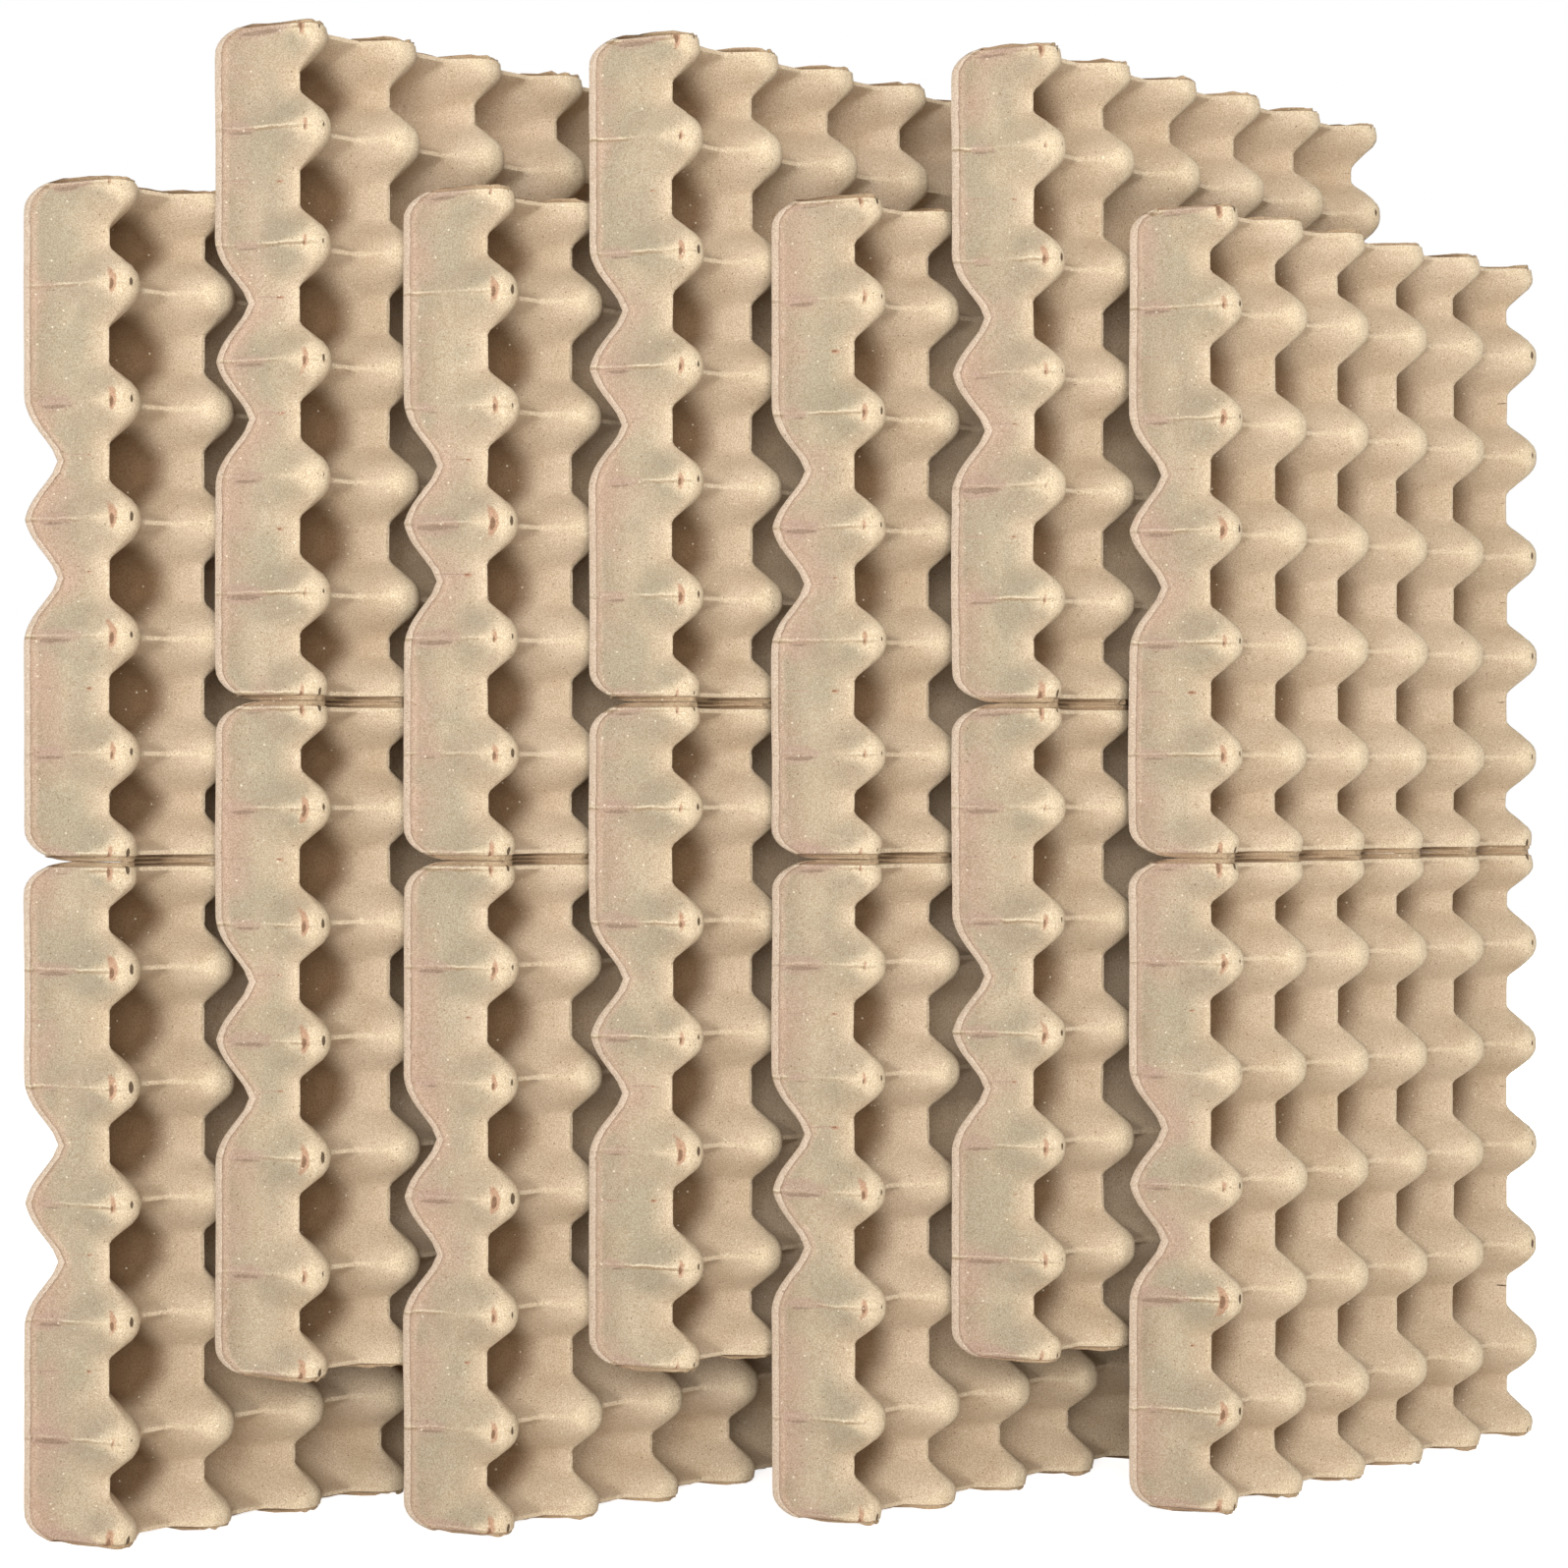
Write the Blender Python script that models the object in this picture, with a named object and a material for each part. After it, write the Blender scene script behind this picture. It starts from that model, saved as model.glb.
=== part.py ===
"""Fourteen moulded pulp egg trays, standing on edge in two tiers of seven."""

import math

import bmesh
import bpy
from mathutils import Vector

MM = 0.001

# The cells of a tray, in millimetres
cell_width = 49.0        # from post to post across the tray
cell_rise = 50.3         # from post to post up the tray
end_rise = 43.1          # the same in the lowest and the highest row of cells
cells_across = 5
cells_up = 6
tray_depth = 49.0        # outside of a cup's floor to the tip of a post
saddle_drop = 17.0       # tip of a post down to the saddle between two posts
wall = 2.2               # thickness of the pulp
floor_reach = 14.0       # middle of a cup's floor to its corners, inside

# The narrow lips beyond the first and last rows of posts
end_lip = 3.3
end_lip_drop = 2.0       # saddles down to the lip's edge

# The skirt along both sides of a tray
skirt_reach = 25.3       # outermost posts to the rim
skirt_drop = 21.6        # saddles down to the rim
corner_cut = 9.0         # off each way at the skirt's four corners
notched_cells = (3, 4)   # cells with a V-shaped notch in the rim beside them
notch_share = 0.42       # the notch's depth, as a share of the skirt's reach

# How the trays stand
trays_in_tier = 7
tiers = 2
clearance = 0.3          # between trays that touch
tip_across = 9.0         # where a post's tip meets the next tray: from the
tip_up = 6.0             # middle of a cup's floor, sideways and upwards

pulp_colour = (0.56, 0.44, 0.30, 1.0)
pulp_roughness = 0.95

mean_pitch = (cell_width + cell_rise) / 2
half_width = cells_across * cell_width / 2
inner_height = (cells_up - 2) * cell_rise
tray_height = inner_height + 2 * (end_rise + end_lip)
last_column = 2 * cells_across
last_row = 2 * cells_up
compass = ((1, 0), (0, 1), (-1, 0), (0, -1))


def face_levels():
    """Heights of the face that holds the eggs, over the outside of the cup floors."""
    saddle = tray_depth - saddle_drop
    return {"tip": tray_depth, "saddle": saddle, "floor": wall, "reach": floor_reach,
            "rim": saddle - skirt_drop, "lip": saddle - end_lip_drop}


def back_levels(face):
    """The same points on the back, a wall's thickness away square to each slope."""
    cup_slope = (face["saddle"] - face["floor"]) / (mean_pitch / 2 - face["reach"])
    ridge_slope = saddle_drop / (mean_pitch / 2)
    post_slope = (face["tip"] - face["floor"]) / (mean_pitch - face["reach"])
    skirt_slope = skirt_drop / skirt_reach
    lip_slope = end_lip_drop / end_lip
    return {"tip": face["tip"] - wall * math.hypot(1, post_slope, post_slope),
            "saddle": face["saddle"] - wall * math.hypot(1, cup_slope, ridge_slope),
            "floor": face["floor"] - wall,
            "reach": face["reach"] + wall * (math.hypot(1, cup_slope) - 1) / cup_slope,
            "rim": face["rim"] - wall * math.hypot(1, skirt_slope),
            "lip": face["lip"] - wall * math.hypot(1, lip_slope)}


def place_across(column):
    """Distance across the tray of a column of posts (even) or saddles (odd)."""
    return column * cell_width / 2 - half_width


def place_up(row):
    """Distance up the tray of a row of posts (even) or saddles (odd).

    The lowest and the highest cells are shorter than the ones between them.
    """
    from_middle = (row - cells_up) * cell_rise / 2
    inside = min(abs(from_middle), inner_height / 2)
    outside = (abs(from_middle) - inside) * end_rise / cell_rise
    return tray_height / 2 + math.copysign(inside + outside, from_middle)


def rim_points(side, level):
    """The rim from bottom to top, as (place, point) for lace().

    Away from the corners there is a point beside each post, and one in each notch,
    where the rim follows the skirt's slope up to the notch's depth.
    """
    edge = half_width + skirt_reach
    points = [(0, edge - corner_cut, 0.0, 0.0), (0, edge, corner_cut, 0.0)]
    for row in range(1, last_row):
        if row % 2 == 0:
            points.append((row - 0.5, edge, place_up(row), 0.0))
        elif (row + 1) / 2 in notched_cells:
            points.append((row, edge - notch_share * skirt_reach, place_up(row),
                           notch_share * skirt_drop))
    points += [(last_row - 0.5, edge, tray_height - corner_cut, 0.0),
               (last_row, edge - corner_cut, tray_height, 0.0)]
    return [(place, (side * across, up, level["rim"] + lift))
            for place, across, up, lift in points]


def lace(bm, ridge, border):
    """Triangles between two rows of (place, vertex), taken in the order of their places.

    Where both have the same place, the ridge's vertex comes first.
    """
    near, far = ridge[0][1], border[0][1]
    steps = [(place, True, vert) for place, vert in ridge[1:]]
    steps += [(place, False, vert) for place, vert in border[1:]]
    for place, on_ridge, vert in sorted(steps, key=lambda step: step[0]):
        bm.faces.new((near, far, vert))
        if on_ridge:
            near = vert
        else:
            far = vert


def add_sheet(bm, level):
    """One face of the wall: ridges, cups, skirts and end lips; returns its outline."""
    grid = {}
    for column in range(last_column + 1):
        for row in range(last_row + 1):
            if column % 2 and row % 2:
                continue
            height = level["saddle"] if column % 2 or row % 2 else level["tip"]
            place = (place_across(column), place_up(row), height)
            grid[column, row] = bm.verts.new(place)
    for column in range(1, last_column, 2):
        for row in range(1, last_row, 2):
            add_cup(bm, grid, column, row, level)
    lips, rims = {}, {}
    for row, up in ((0, 0.0), (last_row, tray_height)):
        lips[row] = [(max(column - 0.5, 0), bm.verts.new((place_across(column), up, level["lip"])))
                     for column in range(0, last_column + 1, 2)]
        lace(bm, [(column, grid[column, row]) for column in range(last_column + 1)], lips[row])
    for side, column, corner in ((-1, 0, 0), (1, last_column, -1)):
        rims[side] = [(place, bm.verts.new(point)) for place, point in rim_points(side, level)]
        lace(bm, [(row, grid[column, row]) for row in range(last_row + 1)], rims[side])
        bm.faces.new((grid[column, 0], lips[0][corner][1], rims[side][0][1]))
        bm.faces.new((grid[column, last_row], lips[last_row][corner][1], rims[side][-1][1]))
    outline = lips[0] + rims[1] + lips[last_row][::-1] + rims[-1][::-1]
    return [vert for place, vert in outline]


def add_cup(bm, grid, column, row, level):
    """A cup between four posts and four saddles, with a diamond-shaped floor."""
    middle = Vector((place_across(column), place_up(row), level["floor"]))
    floor = [bm.verts.new(middle + level["reach"] * Vector((x, y, 0))) for x, y in compass]
    for turn, (x, y) in enumerate(compass):
        following = (turn + 1) % len(compass)
        next_x, next_y = compass[following]
        saddle = grid[column + x, row + y]
        next_saddle = grid[column + next_x, row + next_y]
        post = grid[column + x + next_x, row + y + next_y]
        bm.faces.new((floor[turn], saddle, post))
        bm.faces.new((floor[turn], post, floor[following]))
        bm.faces.new((floor[following], post, next_saddle))
    bm.faces.new(floor)


def tray_mesh():
    """A tray standing on its lower cut edge, its cups opening towards -Y."""
    bm = bmesh.new()
    face = face_levels()
    outlines = [add_sheet(bm, level) for level in (face, back_levels(face))]
    count = len(outlines[0])
    for index in range(count):
        following = (index + 1) % count
        bm.faces.new((outlines[0][index], outlines[0][following],
                      outlines[1][following], outlines[1][index]))
    for vert in bm.verts:
        across, up, height = vert.co
        vert.co = Vector((across, -height, up)) * MM
    bmesh.ops.recalc_face_normals(bm, faces=bm.faces)
    mesh = bpy.data.meshes.new("pulp_tray")
    bm.to_mesh(mesh)
    bm.free()
    return mesh


def pulp_material():
    """Grey-brown recycled paper pulp, quite matt."""
    material = bpy.data.materials.new("moulded_pulp")
    material.use_nodes = True
    shader = material.node_tree.nodes["Principled BSDF"]
    shader.inputs["Base Color"].default_value = pulp_colour
    shader.inputs["Roughness"].default_value = pulp_roughness
    shader.inputs["Metallic"].default_value = 0.0
    return material


def tray_spacing():
    """How far each tray stands beside, above and in front of the one behind it.

    A post's tip meets the next tray beside the middle of a cup's floor. Past the
    floor's edge it goes in as deep as the slope of the cup's outside lets it.
    """
    back = back_levels(face_levels())
    beside = 1.5 * cell_width - tip_across
    above = 1.5 * cell_rise - tip_up
    past_floor = max(tip_across + tip_up - back["reach"], 0.0)
    slope = (back["tip"] - back["floor"]) / (mean_pitch - back["reach"])
    ahead = tray_depth - slope * past_floor + clearance
    return beside, above, ahead


def place_trays():
    """Two tiers of seven: every second tray stands higher, each overlaps the last."""
    mesh = tray_mesh()
    mesh.materials.append(pulp_material())
    beside, above, ahead = tray_spacing()
    middle = (trays_in_tier - 1) / 2
    for tier, tier_name in zip(range(tiers), ("lower", "upper")):
        for number in range(trays_in_tier):
            tray = bpy.data.objects.new(f"tray_{tier_name}_{number + 1}", mesh)
            raised = above * (number % 2)
            tray.location = Vector(((number - middle) * beside,
                                    tray_depth / 2 - (number - middle) * ahead,
                                    tier * (tray_height + clearance) + raised)) * MM
            bpy.context.scene.collection.objects.link(tray)


for old in list(bpy.data.objects):
    bpy.data.objects.remove(old)
place_trays()
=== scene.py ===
"""Fourteen pulp egg trays on edge: the finish of every surface, the light and the camera."""

import math

import bpy
import numpy as np
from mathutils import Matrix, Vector


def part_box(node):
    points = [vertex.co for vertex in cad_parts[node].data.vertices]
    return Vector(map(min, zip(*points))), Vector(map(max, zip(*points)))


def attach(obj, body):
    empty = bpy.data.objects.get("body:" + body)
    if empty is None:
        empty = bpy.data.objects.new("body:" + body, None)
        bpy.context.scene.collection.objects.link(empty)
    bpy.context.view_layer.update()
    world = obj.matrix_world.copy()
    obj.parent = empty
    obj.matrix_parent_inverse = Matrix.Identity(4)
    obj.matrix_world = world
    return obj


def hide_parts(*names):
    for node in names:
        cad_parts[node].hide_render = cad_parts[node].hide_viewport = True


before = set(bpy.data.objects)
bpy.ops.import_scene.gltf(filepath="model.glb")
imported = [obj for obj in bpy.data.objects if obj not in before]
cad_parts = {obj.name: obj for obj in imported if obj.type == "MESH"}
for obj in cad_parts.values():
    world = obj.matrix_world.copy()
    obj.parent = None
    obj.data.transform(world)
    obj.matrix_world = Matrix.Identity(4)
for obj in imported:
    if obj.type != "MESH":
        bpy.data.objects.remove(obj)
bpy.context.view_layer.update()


# Egg tray: one moulding of recycled paper pulp, sucked onto a wire mould and dried.
# A blunt post stands at each corner of its cells and a saddle on each side. Skirts slope
# back to a flat lip along both sides, and the other two edges are torn and crumbled.
MM = 0.001
cells_across, cells_up = 5, 6
cell_width, cell_rise = 49.0, 50.3
end_rise = 43.1          # the lowest and the highest row of cells
first_low, first_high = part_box("tray_lower_1")
tray_height = (first_high.z - first_low.z) / MM
tray_depth = (first_high.y - first_low.y) / MM
half_width = cells_across * cell_width / 2
skirt_reach = (first_high.x - first_low.x) / MM / 2 - half_width
inner_height = (cells_up - 2) * cell_rise
end_lip = (tray_height - inner_height) / 2 - end_rise
post_rows = end_lip + np.cumsum([0, end_rise] + [cell_rise] * (cells_up - 2) + [end_rise])
wall = 2.2               # thickness of the pulp
saddle_drop = 16.0       # tip of a post down to the saddle between two posts
saddle_height = tray_depth - saddle_drop
post_slope = 2.35        # fall of a post far from its tip
tip_round = 14.0         # how far its tip bends before it falls like that
round_within = 6.0       # a post is round this near its middle,
square_beyond = 16.0     # and diamond-shaped this far from it
end_fall = 3.0           # the end posts' tips under the others
outer_fall = 1.5         # how much faster the outermost posts fall to the skirts
cup_slope = 2.9          # fall of a ridge's side into a cup
crest_half = 0.9         # half the width of a ridge's flat top
back_crest_half = 0.3    # the same on the wall's back
crest_round = 0.4        # radius of its edges
cup_fillet = 2.4         # where a post meets the side of a cup
floor_fillet = 6.0       # where that side meets the cup's floor
skirt_fillet = 5.0       # where a post meets a skirt
lip_fillet = 2.4         # where a skirt meets its lip
fold_height = 2.5        # fold in the skirt in line with each post
fold_half = 6.0
lip_width = 3.8          # flat lip along the rim
rim_height = 10.4
skirt_slope = (saddle_height - rim_height) / (skirt_reach - lip_width)
corner_radius = 14.0
notch_middles = tray_height / 2 + cell_rise * np.array([-0.5, 0.5])
notch_depth = 0.42 * skirt_reach
notch_half = 19.0        # half its width where it opens
notch_round = 3.5        # how far the rim bends at its bottom
torn_width = 2.5         # the torn strip along each end
torn_share = 0.6         # most of its width that its edge is drawn in
seam_share = 0.1         # or stands out, where the two tiers meet
seam_reach = 0.2         # but no further than this, in millimetres
torn_drop = 1.3          # how far it lies back from the ridges
crack_depth = 5.0
crack_place = 1.7        # from the end to the middle of a crack
rim_bulge = 0.6          # how far the middle of the rim's edge stands out,
rim_fray = 0.5           # and how far that comes and goes
thinnest = 0.9           # thickness that the wall keeps everywhere
unmarked = 20.0          # height over a post that has no crease or mark


def ripple(places, wavelength, seed, waves=14):
    """Smooth random height from -1 to 1: the mean of cosines that run in random
    directions across the places, each about one wavelength long."""
    rng = np.random.default_rng(seed)
    turn = rng.normal(size=(waves, places.shape[-1]))
    turn /= np.linalg.norm(turn, axis=1, keepdims=True)
    length = wavelength * rng.uniform(0.7, 1.4, waves)
    phase = rng.uniform(0, 2 * np.pi, waves)
    angles = places @ (turn * (2 * np.pi / length)[:, None]).T + phase
    return np.cos(angles).mean(axis=-1) * 2.0


def soft_max(one, other, radius):
    """The higher of two surfaces, with the inner corner between them filled: by a quarter
    of the radius where they are equal, falling as a square to nothing where they are a
    radius apart."""
    near = np.clip(1 - np.abs(one - other) / radius, 0, None)
    return np.maximum(one, other) + near ** 2 * radius / 4


def soft_min(one, other, radius):
    """The lower of two surfaces, with the outer corner between them rounded off."""
    return -soft_max(-one, -other, radius)


def smooth_step(low, high, value):
    """Rises from 0 at low to 1 at high, level at both ends: three times the square of
    the share of the way, less twice its cube."""
    share = np.clip((value - low) / (high - low), 0, 1)
    return share * share * (3 - 2 * share)


def stations(posts):
    """Places from the first post line to the last, drawn together near each post line and
    at the corners of the saddles."""
    near = np.array([0.0, 0.9, 1.8, 3.6, 5.8, 8.4, 12.0, 16.0, 17.8, 20.0])
    cells = [np.concatenate([first + near, [(first + last) / 2], last - near[:0:-1]])
             for first, last in zip(posts[:-1], posts[1:])]
    return np.concatenate(cells + [posts[-1:]])


def local_reach(up):
    """How far the rim stands out from the last posts: the full reach, less two V-shaped
    notches with straight sides and soft corners, and less the quarter circles at the ends."""
    nearest = np.min(np.abs(up[..., None] - notch_middles), axis=-1)
    side = 1 - (np.hypot(nearest, notch_round) - (notch_round - 1.0)) / notch_half
    notch = notch_depth * soft_max(side, np.zeros_like(side), 0.4)
    short = np.clip(corner_radius - np.minimum(up, tray_height - up), 0, corner_radius)
    corner = corner_radius - np.sqrt(corner_radius ** 2 - short ** 2)
    return skirt_reach - notch - corner


def gaps(across, up):
    """Distances out past the last column of posts, to the nearest column and to the
    nearest row, and the height over or under that row."""
    inside = np.clip(half_width - np.abs(across), 0, None)
    beyond = np.clip(np.abs(across) - half_width, 0, None)
    column = beyond + np.abs(inside - np.round(inside / cell_width) * cell_width)
    nearest = post_rows[np.argmin(np.abs(up[..., None] - post_rows), axis=-1)]
    return beyond, column, np.abs(up - nearest), up - nearest


def rounded(distance, half):
    """Distance outside a flat strip of that half width, with a small round at its edges."""
    return np.hypot(np.clip(distance - half, 0, None), crest_round) - crest_round


def post_distance(column, row):
    """Distance from the nearest post: the straight one by its tip, where it is round, and
    the sum of both gaps further off, where it is diamond-shaped and its corners run out
    into the ridges."""
    straight = np.hypot(column, row)
    squared = smooth_step(round_within, square_beyond, straight)
    return straight + (column + row - straight) * squared


def moulding(across, up, inward):
    """Height of the wall over the cup floors: the highest of the posts, of the slopes
    that fall from the ridges into the cups, of the floors and of the skirt's slope. A
    post falls along a hyperbola. inward sinks every slope square to itself."""
    beyond, column, row, _ = gaps(across, up)
    half = crest_half if inward == 0 else back_crest_half
    near_end = 1 - smooth_step(end_lip - 1, end_lip + 9, np.minimum(up, tray_height - up))
    run_across = np.where(beyond > 0, outer_fall, 1.0) * rounded(column, half)
    away = post_distance(run_across, rounded(row, half))
    bent = np.hypot(away, tip_round)
    cone = (tray_depth - end_fall * near_end - post_slope * (bent - tip_round)
            - inward * np.hypot(1, post_slope * away / bent))
    into_cup = np.minimum(rounded(column, half), rounded(row, half))
    ridges = saddle_height - cup_slope * into_cup - inward * math.hypot(1, cup_slope)
    cup = soft_max(cone, ridges, cup_fillet)
    cup = soft_max(cup, np.full_like(cup, wall - inward), floor_fillet)
    run = soft_min(beyond, np.clip(local_reach(up) - lip_width, 0, None), lip_fillet)
    fold = fold_height * np.exp(-(row / fold_half) ** 2)
    fold = fold * (1 - run / (skirt_reach - lip_width))
    skirt = saddle_height + fold - skirt_slope * run - inward * math.hypot(1, skirt_slope)
    return np.where(beyond > 0, soft_max(cone, skirt, skirt_fillet), cup)


def tray_places(seed, upper):
    """Grid of places over the tray, in its own plane: columns run through the left
    skirt, the cells and the right skirt, and rows through the end strips and the cells.
    The strips' outer edges are drawn in by a ragged amount. Where the two tiers meet, at
    the top of a lower tray and the bottom of an upper one, they reach out and touch."""
    middle = stations(cell_width * np.arange(cells_across + 1) - half_width)
    strip = torn_width * np.array([0, 0.15, 0.32, 0.5, 0.64, 0.78, 0.93])
    lip = np.concatenate([strip, torn_width + (end_lip - torn_width) * np.array([0, 0.3, 0.65])])
    up_line = np.concatenate([lip, stations(post_rows), tray_height - lip[::-1]])
    on_slope = np.array([0.05, 0.18, 0.36, 0.58, 0.8, 1.0])
    on_lip = np.array([0.5, 1.6, 2.9, lip_width])
    reach = local_reach(up_line)[:, None]
    out = np.concatenate([(reach - lip_width) * on_slope, reach - lip_width + on_lip], axis=1)
    cells = np.repeat(middle[None], len(up_line), axis=0)
    across = np.concatenate([-half_width - out[:, ::-1], cells, half_width + out], axis=1)
    up = np.repeat(up_line[:, None], across.shape[1], axis=1)
    flat = np.stack([across, up], -1)
    ragged = 1.2 * ripple(flat, 5.0, seed) + ripple(flat, 17.0, seed + 1)
    ragged = 0.5 + 0.5 * np.clip(ragged, -1, 1)
    free = (up > tray_height / 2) == upper
    share = np.where(free, torn_share * ragged, seam_share * ragged - seam_share)
    from_end = np.minimum(up, tray_height - up)
    drawn_in = np.clip(torn_width - from_end, 0, None) * share
    return across, np.where(up < tray_height / 2, up + drawn_in, up - drawn_in)


def grid_faces(rows, columns, start, turned):
    """Four corners of every square of a grid of points, wound to face forwards or back."""
    corner = start + np.arange(rows * columns).reshape(rows, columns)
    faces = np.stack([corner[:-1, :-1], corner[:-1, 1:], corner[1:, 1:], corner[1:, :-1]], -1)
    faces = faces.reshape(-1, 4)
    return faces[:, ::-1] if turned else faces


def outline(rows, columns):
    """Numbers of a grid's outermost points, once round from the first corner."""
    corner = np.arange(rows * columns).reshape(rows, columns)
    return np.concatenate([corner[0, :-1], corner[:-1, -1], corner[-1, :0:-1], corner[:0:-1, 0]])


def tray_surface(seed, upper, covered):
    """The whole wall as one closed skin: its face, its back a wall's thickness behind,
    and round the edge a band with a ragged middle line. Gives points, faces and, at each
    point, the distances in millimetres that the finish and the painted shade in the cups
    follow. A covered tray has another in front of all but its first column of cups, and
    less painted shade in those."""
    across, up = tray_places(seed, upper)
    flat = np.stack([across, up], -1)
    from_end = np.minimum(up, tray_height - up)
    beyond, column, row, over_post = gaps(across, up)
    from_rim = np.where(beyond > 0, local_reach(up) - beyond, skirt_reach)

    # The wall warps slowly, its face is a little uneven, and a bead runs along the rim
    front = moulding(across, up, 0.0)
    back = moulding(across, up, wall)
    bend = 0.6 * ripple(flat, 90.0, seed + 2) + 0.2 * ripple(flat, 24.0, seed + 3)
    bend = bend * smooth_step(0.0, 8.0, from_end)
    front = front + bend + 0.08 * ripple(flat, 6.5, seed + 4)
    back = back + bend
    bead = 0.6 * smooth_step(1.8, 0.3, from_rim)
    dip = 0.2 * np.exp(-((from_rim - lip_width) / 1.2) ** 2)
    front = front + (bead - dip) * (beyond > 0)

    # The torn strips lie lower, with a crack along them between most of the posts
    cell = np.mod((across + half_width) / cell_width, 1.0)
    crack = smooth_step(0.15, 0.4, cell) * (1 - smooth_step(0.8, 0.97, cell))
    crack = crack * smooth_step(-0.5, 0.3, ripple(flat[..., :1], 55.0, seed + 5))
    strip = smooth_step(torn_width, torn_width - 0.5, from_end)
    groove = crack_depth * crack * np.exp(-((from_end - crack_place) / 0.5) ** 2)
    torn = front - torn_drop + 0.9 * ripple(flat, 4.0, seed + 6) - groove
    front = front + (torn - front) * strip
    front = np.minimum(front, tray_depth)
    back = np.clip(np.minimum(back, front - thinnest), 0.0, None)
    front = np.maximum(front, back + thinnest)

    # Round the edge, the face is drawn in and the middle line stands out, both raggedly
    rows, columns = across.shape
    edge = outline(rows, columns)
    face = np.stack([across, -front, up], -1).reshape(-1, 3)
    rear = np.stack([across, -back, up], -1).reshape(-1, 3)
    out_side = (np.sign(across) * (beyond > 0)).reshape(-1)[edge]
    frayed = np.clip(ripple(flat, 3.4, seed + 7), -1, 1).reshape(-1)[edge]
    frayed = out_side * (rim_bulge + rim_fray * frayed)
    face[edge, 0] -= frayed
    middle = (face[edge] + rear[edge]) / 2
    middle[:, 0] += frayed
    points = np.concatenate([face, rear, middle])
    points[:, 0] = np.clip(points[:, 0], -half_width - skirt_reach, half_width + skirt_reach)
    points[:, 2] = np.clip(points[:, 2], -seam_reach * upper,
                           tray_height + seam_reach * (not upper))

    count = rows * columns
    ring = np.arange(len(edge))
    after = np.roll(ring, -1)
    band = 2 * count
    faces = np.concatenate([
        grid_faces(rows, columns, 0, False),
        grid_faces(rows, columns, count, True),
        np.stack([edge, band + ring, band + after, edge[after]], -1),
        np.stack([band + ring, count + edge, count + edge[after], band + after], -1)])

    # A cup behind another tray has real shade, so its painted shade is weaker: it counts as only
    # 0.3 as deep
    shaded = covered & (across > cell_width - half_width)
    measures = {
        "crest_gap": np.where(beyond > 0, column, np.minimum(column, row)),
        "tip_gap": column + row,
        "rim_gap": from_rim,
        "end_gap": from_end,
        "over_post": np.where(from_end > end_lip / 2, over_post, unmarked),
        "past_post": half_width - np.abs(across),
        "cup_shade_height": np.where(shaded, 0.3 * front + 15.5, front),
        "skirt": smooth_step(-1.0, 8.0, beyond)}
    shared = {}
    for name, value in measures.items():
        value = value.reshape(-1)
        shared[name] = np.concatenate([value, value, value[edge]])
    shared["cup_shade_height"][count:] = tray_depth
    return points, faces, shared


def skin(name, points, faces, measures):
    """A smooth mesh object from whole arrays, with its measures as attributes."""
    mesh = bpy.data.meshes.new(name)
    mesh.vertices.add(len(points))
    mesh.vertices.foreach_set("co", (points * MM).ravel())
    mesh.loops.add(faces.size)
    mesh.loops.foreach_set("vertex_index", faces.ravel())
    mesh.polygons.add(len(faces))
    mesh.polygons.foreach_set("loop_start", np.arange(0, faces.size, 4))
    mesh.update(calc_edges=True)
    for title, value in measures.items():
        layer = mesh.attributes.new(title, "FLOAT", "POINT")
        layer.data.foreach_set("value", value.astype(np.float32))
    mesh.validate()
    mesh.shade_smooth()
    mesh.set_sharp_from_angle(angle=math.radians(50))
    thing = bpy.data.objects.new(name, mesh)
    bpy.context.scene.collection.objects.link(thing)
    return thing


def linear(code):
    """A hex colour as Blender's linear values."""
    shares = [int(code[place:place + 2], 16) / 255 for place in (1, 3, 5)]
    return [share / 12.92 if share <= 0.04045 else ((share + 0.055) / 1.055) ** 2.4
            for share in shares] + [1.0]


def add(tree, kind, links=None, out=0, **settings):
    """Adds one shader node and gives one of its outputs. Settings name its properties,
    and links its sockets, by name or number, each with a constant or another node's
    output."""
    node = tree.nodes.new(kind)
    for name, value in settings.items():
        setattr(node, name, value)
    for socket, value in (links or {}).items():
        if isinstance(value, bpy.types.NodeSocket):
            tree.links.new(value, node.inputs[socket])
        else:
            node.inputs[socket].default_value = value
    return node.outputs[out]


# The pulp: grey-brown waste paper fibre, never bleached, dried against one wire mould.
# It is quite matt, with fine grain, dark and pale specks and a colour that drifts from
# greenish grey to pink on the skirts; tips and ridges get a painted highlight, torn edges
# are darker, and the cups get painted shade towards their floors.
pulp = bpy.data.materials.new("recycled_paper_pulp")
pulp.use_nodes = True
tree = pulp.node_tree
place = add(tree, "ShaderNodeTexCoord", out="Object")
gap = {name: add(tree, "ShaderNodeAttribute", out="Fac", attribute_name=name)
       for name in ("crest_gap", "tip_gap", "rim_gap", "end_gap", "over_post", "past_post",
                    "cup_shade_height", "skirt")}

# A Map Range has its value in socket 0, the range that it reads in 1 and 2 and the range
# that it gives in 3 and 4. A Mix has its share in 0, its colours in 6 and 7 and its
# result in output 2.
smooth = {"interpolation_type": "SMOOTHSTEP"}
mix = {"data_type": "RGBA"}
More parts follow.
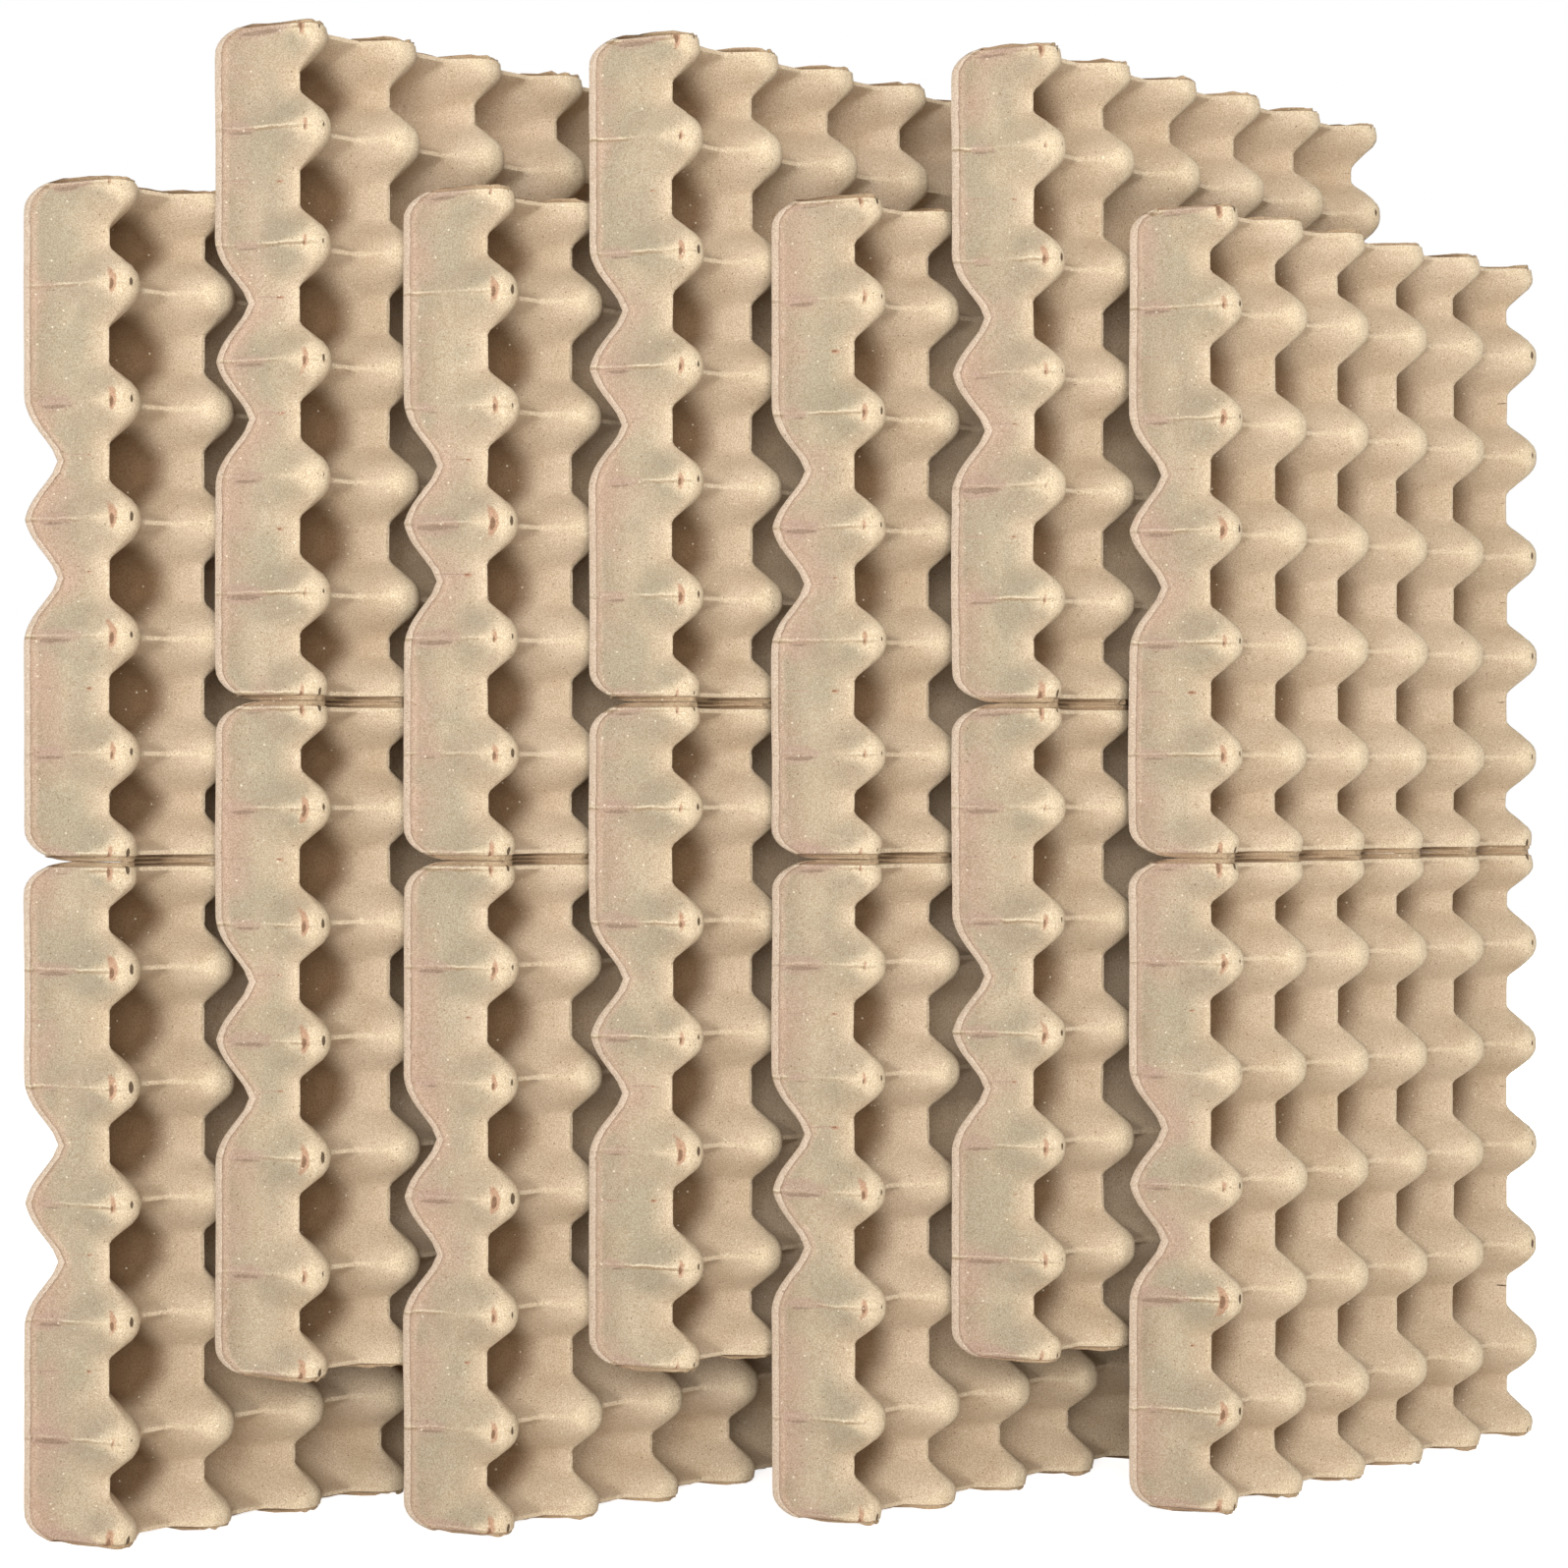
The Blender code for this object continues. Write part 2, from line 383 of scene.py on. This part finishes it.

# The whole tray: a broad drift of colour and browner patches, and painted shade that
# darkens the cups towards their floors.
broad = add(tree, "ShaderNodeTexNoise", {0: place, "Scale": 1 / (85 * MM), "Detail": 2.0})
share = add(tree, "ShaderNodeMapRange", {0: broad, 1: 0.35, 2: 0.65}, **smooth)
colour = add(tree, "ShaderNodeMix",
             {0: share, 6: linear("#DCC9B0"), 7: linear("#D4C1A7")}, 2, **mix)
patch = add(tree, "ShaderNodeTexNoise", {0: place, "Scale": 1 / (24 * MM), "Detail": 4.0})
share = add(tree, "ShaderNodeMapRange", {0: patch, 1: 0.4, 2: 0.7, 4: 0.35}, **smooth)
colour = add(tree, "ShaderNodeMix", {0: share, 6: colour, 7: linear("#C0A888")}, 2, **mix)
# Painted shade: darker brown towards each cup's floor
share = add(tree, "ShaderNodeMapRange",
            {0: gap["cup_shade_height"], 1: 6.5, 2: 22.0, 3: 0.9, 4: 0.0}, **smooth)
colour = add(tree, "ShaderNodeMix", {0: share, 6: colour, 7: linear("#725537")}, 2, **mix)

# Skirts: the green and pink of the waste paper show where the pulp lies thinnest.
cloud = add(tree, "ShaderNodeTexNoise", {0: place, "Scale": 1 / (30 * MM), "Detail": 5.0})
share = add(tree, "ShaderNodeMapRange", {0: cloud, 1: 0.38, 2: 0.58, 3: 0.55, 4: 0.9}, **smooth)
share = add(tree, "ShaderNodeMath", {0: share, 1: gap["skirt"]}, operation="MULTIPLY")
colour = add(tree, "ShaderNodeMix", {0: share, 6: colour, 7: linear("#ABA28C")}, 2, **mix)
blush = add(tree, "ShaderNodeTexNoise",
            {0: place, "Scale": 1 / (36 * MM), "Detail": 4.0, "W": 3.0}, noise_dimensions="4D")
share = add(tree, "ShaderNodeMapRange", {0: blush, 1: 0.42, 2: 0.6, 3: 0.1, 4: 0.8}, **smooth)
by_rim = add(tree, "ShaderNodeMapRange",
             {0: gap["rim_gap"], 1: 5.0, 2: 15.0, 3: 1.0, 4: 0.25}, **smooth)
share = add(tree, "ShaderNodeMath", {0: share, 1: by_rim}, operation="MULTIPLY")
share = add(tree, "ShaderNodeMath", {0: share, 1: gap["skirt"]}, operation="MULTIPLY")
colour = add(tree, "ShaderNodeMix", {0: share, 6: colour, 7: linear("#BBA28F")}, 2, **mix)

# Tips and ridges are painted pale, a painted highlight where light catches them. The
# lips are pinkish, with a pale frayed rim, and the torn ends are browner. Each colour is
# full up to a distance and gone past another, and all but the torn ends' have a wandering edge.
wander = add(tree, "ShaderNodeTexNoise", {0: place, "Scale": 1 / (6 * MM), "Detail": 3.0})
for follows, strays, full, gone, code, most in (
        # painted highlights on the tips and on the ridges' crests
        ("tip_gap", 4.0, 9.0, 15.0, "#E4D3B6", 0.85),
        ("crest_gap", 1.2, 0.9, 2.4, "#E2D2B6", 0.4),
        ("rim_gap", 3.0, 3.6, 7.0, "#D2B9A5", 0.7),
        ("rim_gap", 3.0, 1.7, 2.5, "#E3D6C4", 0.45),
        ("end_gap", 0.0, 1.9, 2.5, "#9E8363", 0.65)):
    line = add(tree, "ShaderNodeMath", {0: wander, 1: strays, 2: gap[follows]},
               operation="MULTIPLY_ADD")
    share = add(tree, "ShaderNodeMapRange", {0: line, 1: full, 2: gone, 3: most, 4: 0.0},
                **smooth)
    colour = add(tree, "ShaderNodeMix", {0: share, 6: colour, 7: linear(code)}, 2, **mix)

# The crease that the mould's joint leaves down each skirt, in line with the posts: a
# fine pale line of painted highlight over a line of painted shadow.
bent = add(tree, "ShaderNodeMath", {0: wander, 1: 1.6, 2: gap["over_post"]},
           operation="MULTIPLY_ADD")
for middle, half, code, most in ((1.2, 0.5, "#DFD2B9", 0.9), (0.2, 0.6, "#A08A6C", 0.75)):
    line = add(tree, "ShaderNodeMath", {0: bent, 1: middle, 2: half}, operation="COMPARE")
    line = add(tree, "ShaderNodeMath", {0: line, 1: gap["skirt"]}, operation="MULTIPLY")
    share = add(tree, "ShaderNodeMapRange", {0: cloud, 1: 0.35, 2: 0.65, 4: most}, **smooth)
    share = add(tree, "ShaderNodeMath", {0: share, 1: line}, operation="MULTIPLY")
    colour = add(tree, "ShaderNodeMix", {0: share, 6: colour, 7: linear(code)}, 2, **mix)

# Marks by the outermost posts: where the skirt was pinched by the lip, and where the
# tips were scraped and chipped in handling. Each is an ellipse with a ragged edge, given
# as the distance it follows, its middle and half its size in millimetres.
scrape = add(tree, "ShaderNodeTexNoise", {0: place, "Scale": 1 / (3 * MM), "Detail": 4.0})
seldom = add(tree, "ShaderNodeTexNoise", {0: place, "Scale": 1 / (35 * MM), "Detail": 0.0})
ragged = add(tree, "ShaderNodeMath", {0: seldom, 1: 2.4, 2: scrape},
             operation="MULTIPLY_ADD")
for follows, middle, half, code, most in (
        ("rim_gap", (6.8, 0.0), (4.6, 3.8), "#B59B8C", 0.6),
        ("rim_gap", (7.6, -1.8), (3.2, 0.9), "#7E6A58", 0.5),
        ("past_post", (-5.4, 0.3), (0.9, 5.2), "#B5876C", 0.7),
        ("past_post", (-5.7, -0.8), (0.5, 2.2), "#6B4E38", 0.7),
        ("past_post", (1.6, 0.5), (0.9, 1.9), "#4E3926", 0.9)):
    spot = add(tree, "ShaderNodeCombineXYZ", {0: gap[follows], 1: gap["over_post"]})
    spot = add(tree, "ShaderNodeVectorMath", {0: spot, 1: (*middle, 0.0)}, operation="SUBTRACT")
    spot = add(tree, "ShaderNodeVectorMath", {0: spot, 1: (*half, 1.0)}, operation="DIVIDE")
    reach = add(tree, "ShaderNodeVectorMath", {0: spot}, 1, operation="LENGTH")
    reach = add(tree, "ShaderNodeMath", {0: reach, 1: ragged}, operation="ADD")
    share = add(tree, "ShaderNodeMapRange", {0: reach, 1: 2.2, 2: 2.7, 3: most, 4: 0.0},
                **smooth)
    colour = add(tree, "ShaderNodeMix", {0: share, 6: colour, 7: linear(code)}, 2, **mix)

# Grain of 0.6 mm, and specks of bark and of bleached paper in cells of 3 to 4 mm, all a
# little coarser than in the real pulp, so that they show.
grain = add(tree, "ShaderNodeTexNoise", {0: place, "Scale": 1 / (0.6 * MM), "Detail": 3.0})
share = add(tree, "ShaderNodeMapRange", {0: grain, 1: 0.32, 2: 0.68, 4: 0.6}, **smooth)
colour = add(tree, "ShaderNodeMix", {0: share, 6: colour, 7: linear("#B9A283")}, 2,
             blend_type="MULTIPLY", **mix)
for pitch, code, rarity, most in ((3.2, "#735A40", 0.55, 0.75), (4.2, "#EDE3CC", 0.62, 0.55)):
    speck = add(tree, "ShaderNodeTexVoronoi", {0: place, "Scale": 1 / (pitch * MM)}).node
    chosen = add(tree, "ShaderNodeSeparateColor", {0: speck.outputs["Color"]})
    chosen = add(tree, "ShaderNodeMath", {0: chosen, 1: rarity}, operation="GREATER_THAN")
    share = add(tree, "ShaderNodeMapRange",
                {0: speck.outputs["Distance"], 1: 0.08, 2: 0.14, 3: most, 4: 0.0}, **smooth)
    share = add(tree, "ShaderNodeMath", {0: share, 1: chosen}, operation="MULTIPLY")
    colour = add(tree, "ShaderNodeMix", {0: share, 6: colour, 7: linear(code)}, 2, **mix)

height = add(tree, "ShaderNodeMath", {0: patch, 1: 1.2, 2: grain}, operation="MULTIPLY_ADD")
bumps = add(tree, "ShaderNodeBump", {"Height": height, "Distance": 0.3 * MM, "Strength": 0.8})
shader = tree.nodes["Principled BSDF"]
shader.inputs["Roughness"].default_value = 0.95
shader.inputs["Specular IOR Level"].default_value = 0.2
tree.links.new(colour, shader.inputs["Base Color"])
tree.links.new(bumps, shader.inputs["Normal"])

# The trays, each in the place of its solid. The seventh of a tier has none before it.
for number, node in enumerate(sorted(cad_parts)):
    low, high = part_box(node)
    points, faces, measures = tray_surface(seed=100 + 10 * number, upper="upper" in node,
                                           covered=not node.endswith("7"))
    points += [(low.x + high.x) / 2 / MM, high.y / MM, low.z / MM]
    tray = skin(node.replace("tray", "pulp_tray"), points, faces, measures)
    tray.data.materials.append(pulp)
    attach(tray, "root")
    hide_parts(node)


# Floor: a plain white paper sheet. It shows white to the camera, and keeps the soft
# shadow of the trays.
def looked_at(tree):
    """1 for rays by which the camera sees, straight, in gloss or through glass, and 0 for
    those that only carry light."""
    rays = add(tree, "ShaderNodeLightPath").node
    seen = rays.outputs["Is Camera Ray"]
    for way in ("Is Glossy Ray", "Is Transmission Ray"):
        seen = add(tree, "ShaderNodeMath", {0: seen, 1: rays.outputs[way]},
                   operation="MAXIMUM")
    return seen


floor_half = 6.0
corners = [(-floor_half, -floor_half, 0), (floor_half, -floor_half, 0),
           (floor_half, floor_half, 0), (-floor_half, floor_half, 0)]
floor_mesh = bpy.data.meshes.new("floor")
floor_mesh.from_pydata(corners, [], [(0, 1, 2, 3)])
floor = bpy.data.objects.new("floor", floor_mesh)
bpy.context.scene.collection.objects.link(floor)
paper = bpy.data.materials.new("white_paper_sheet")
paper.use_nodes = True
sheet = paper.node_tree.nodes["Principled BSDF"]
sheet.inputs["Base Color"].default_value = linear("#FFFFFF")
sheet.inputs["Roughness"].default_value = 1.0
sheet.inputs["Emission Color"].default_value = linear("#FFFFFF")
glow = add(paper.node_tree, "ShaderNodeMath", {0: looked_at(paper.node_tree), 1: 0.8},
           operation="MULTIPLY")
paper.node_tree.links.new(glow, sheet.inputs["Emission Strength"])
floor_mesh.materials.append(paper)

# Room: even white light from all round, which shows pure white to the camera.
room = bpy.data.worlds.new("white_room")
room.use_nodes = True
bpy.context.scene.world = room
strength = add(room.node_tree, "ShaderNodeMapRange",
               {0: looked_at(room.node_tree), 3: 0.5, 4: 1.0})
backdrop = room.node_tree.nodes["Background"]
backdrop.inputs["Color"].default_value = linear("#FFFFFF")
room.node_tree.links.new(strength, backdrop.inputs["Strength"])


# Studio light: a soft lamp by the camera, a tall one on the left and one behind, which
# lights the backs of the trays.
stack_middle = Vector((0, 0, 0.33))


def soft_lamp(name, spot, width, height, watts):
    """An upright area lamp at a spot, turned towards the middle of the stack."""
    lamp = bpy.data.lights.new(name, "AREA")
    lamp.shape = "RECTANGLE"
    lamp.size = width
    lamp.size_y = height
    lamp.energy = watts
    thing = bpy.data.objects.new(name, lamp)
    thing.location = spot
    beam = stack_middle - Vector(spot)
    thing.rotation_euler = beam.to_track_quat("-Z", "Y").to_euler()
    bpy.context.scene.collection.objects.link(thing)


soft_lamp("key_lamp", (-2.5, -1.4, 0.9), 1.2, 1.6, 19)
soft_lamp("front_lamp", (-1.9, -2.1, 0.75), 1.2, 1.2, 53)
soft_lamp("back_lamp", (2.3, 2.0, 1.0), 1.4, 1.4, 36)


# Camera: level, at half the stack's height, from the front left.
view_turn = math.radians(45)
view_distance = 1.5
focal_pixels = 3251
frame_pixels = 1596
sensor_width = 36
aim = Vector((-0.0218, 0.0218, 0.3275))
camera = bpy.data.cameras.new("camera")
camera.sensor_width = sensor_width
camera.lens = sensor_width * focal_pixels / frame_pixels
camera_object = bpy.data.objects.new("camera", camera)
backwards = Vector((-math.sin(view_turn), -math.cos(view_turn), 0))
camera_object.location = aim + backwards * view_distance
camera_object.rotation_euler = (-backwards).to_track_quat("-Z", "Y").to_euler()
bpy.context.scene.collection.objects.link(camera_object)
bpy.context.scene.camera = camera_object
bpy.context.scene.view_settings.view_transform = "Standard"
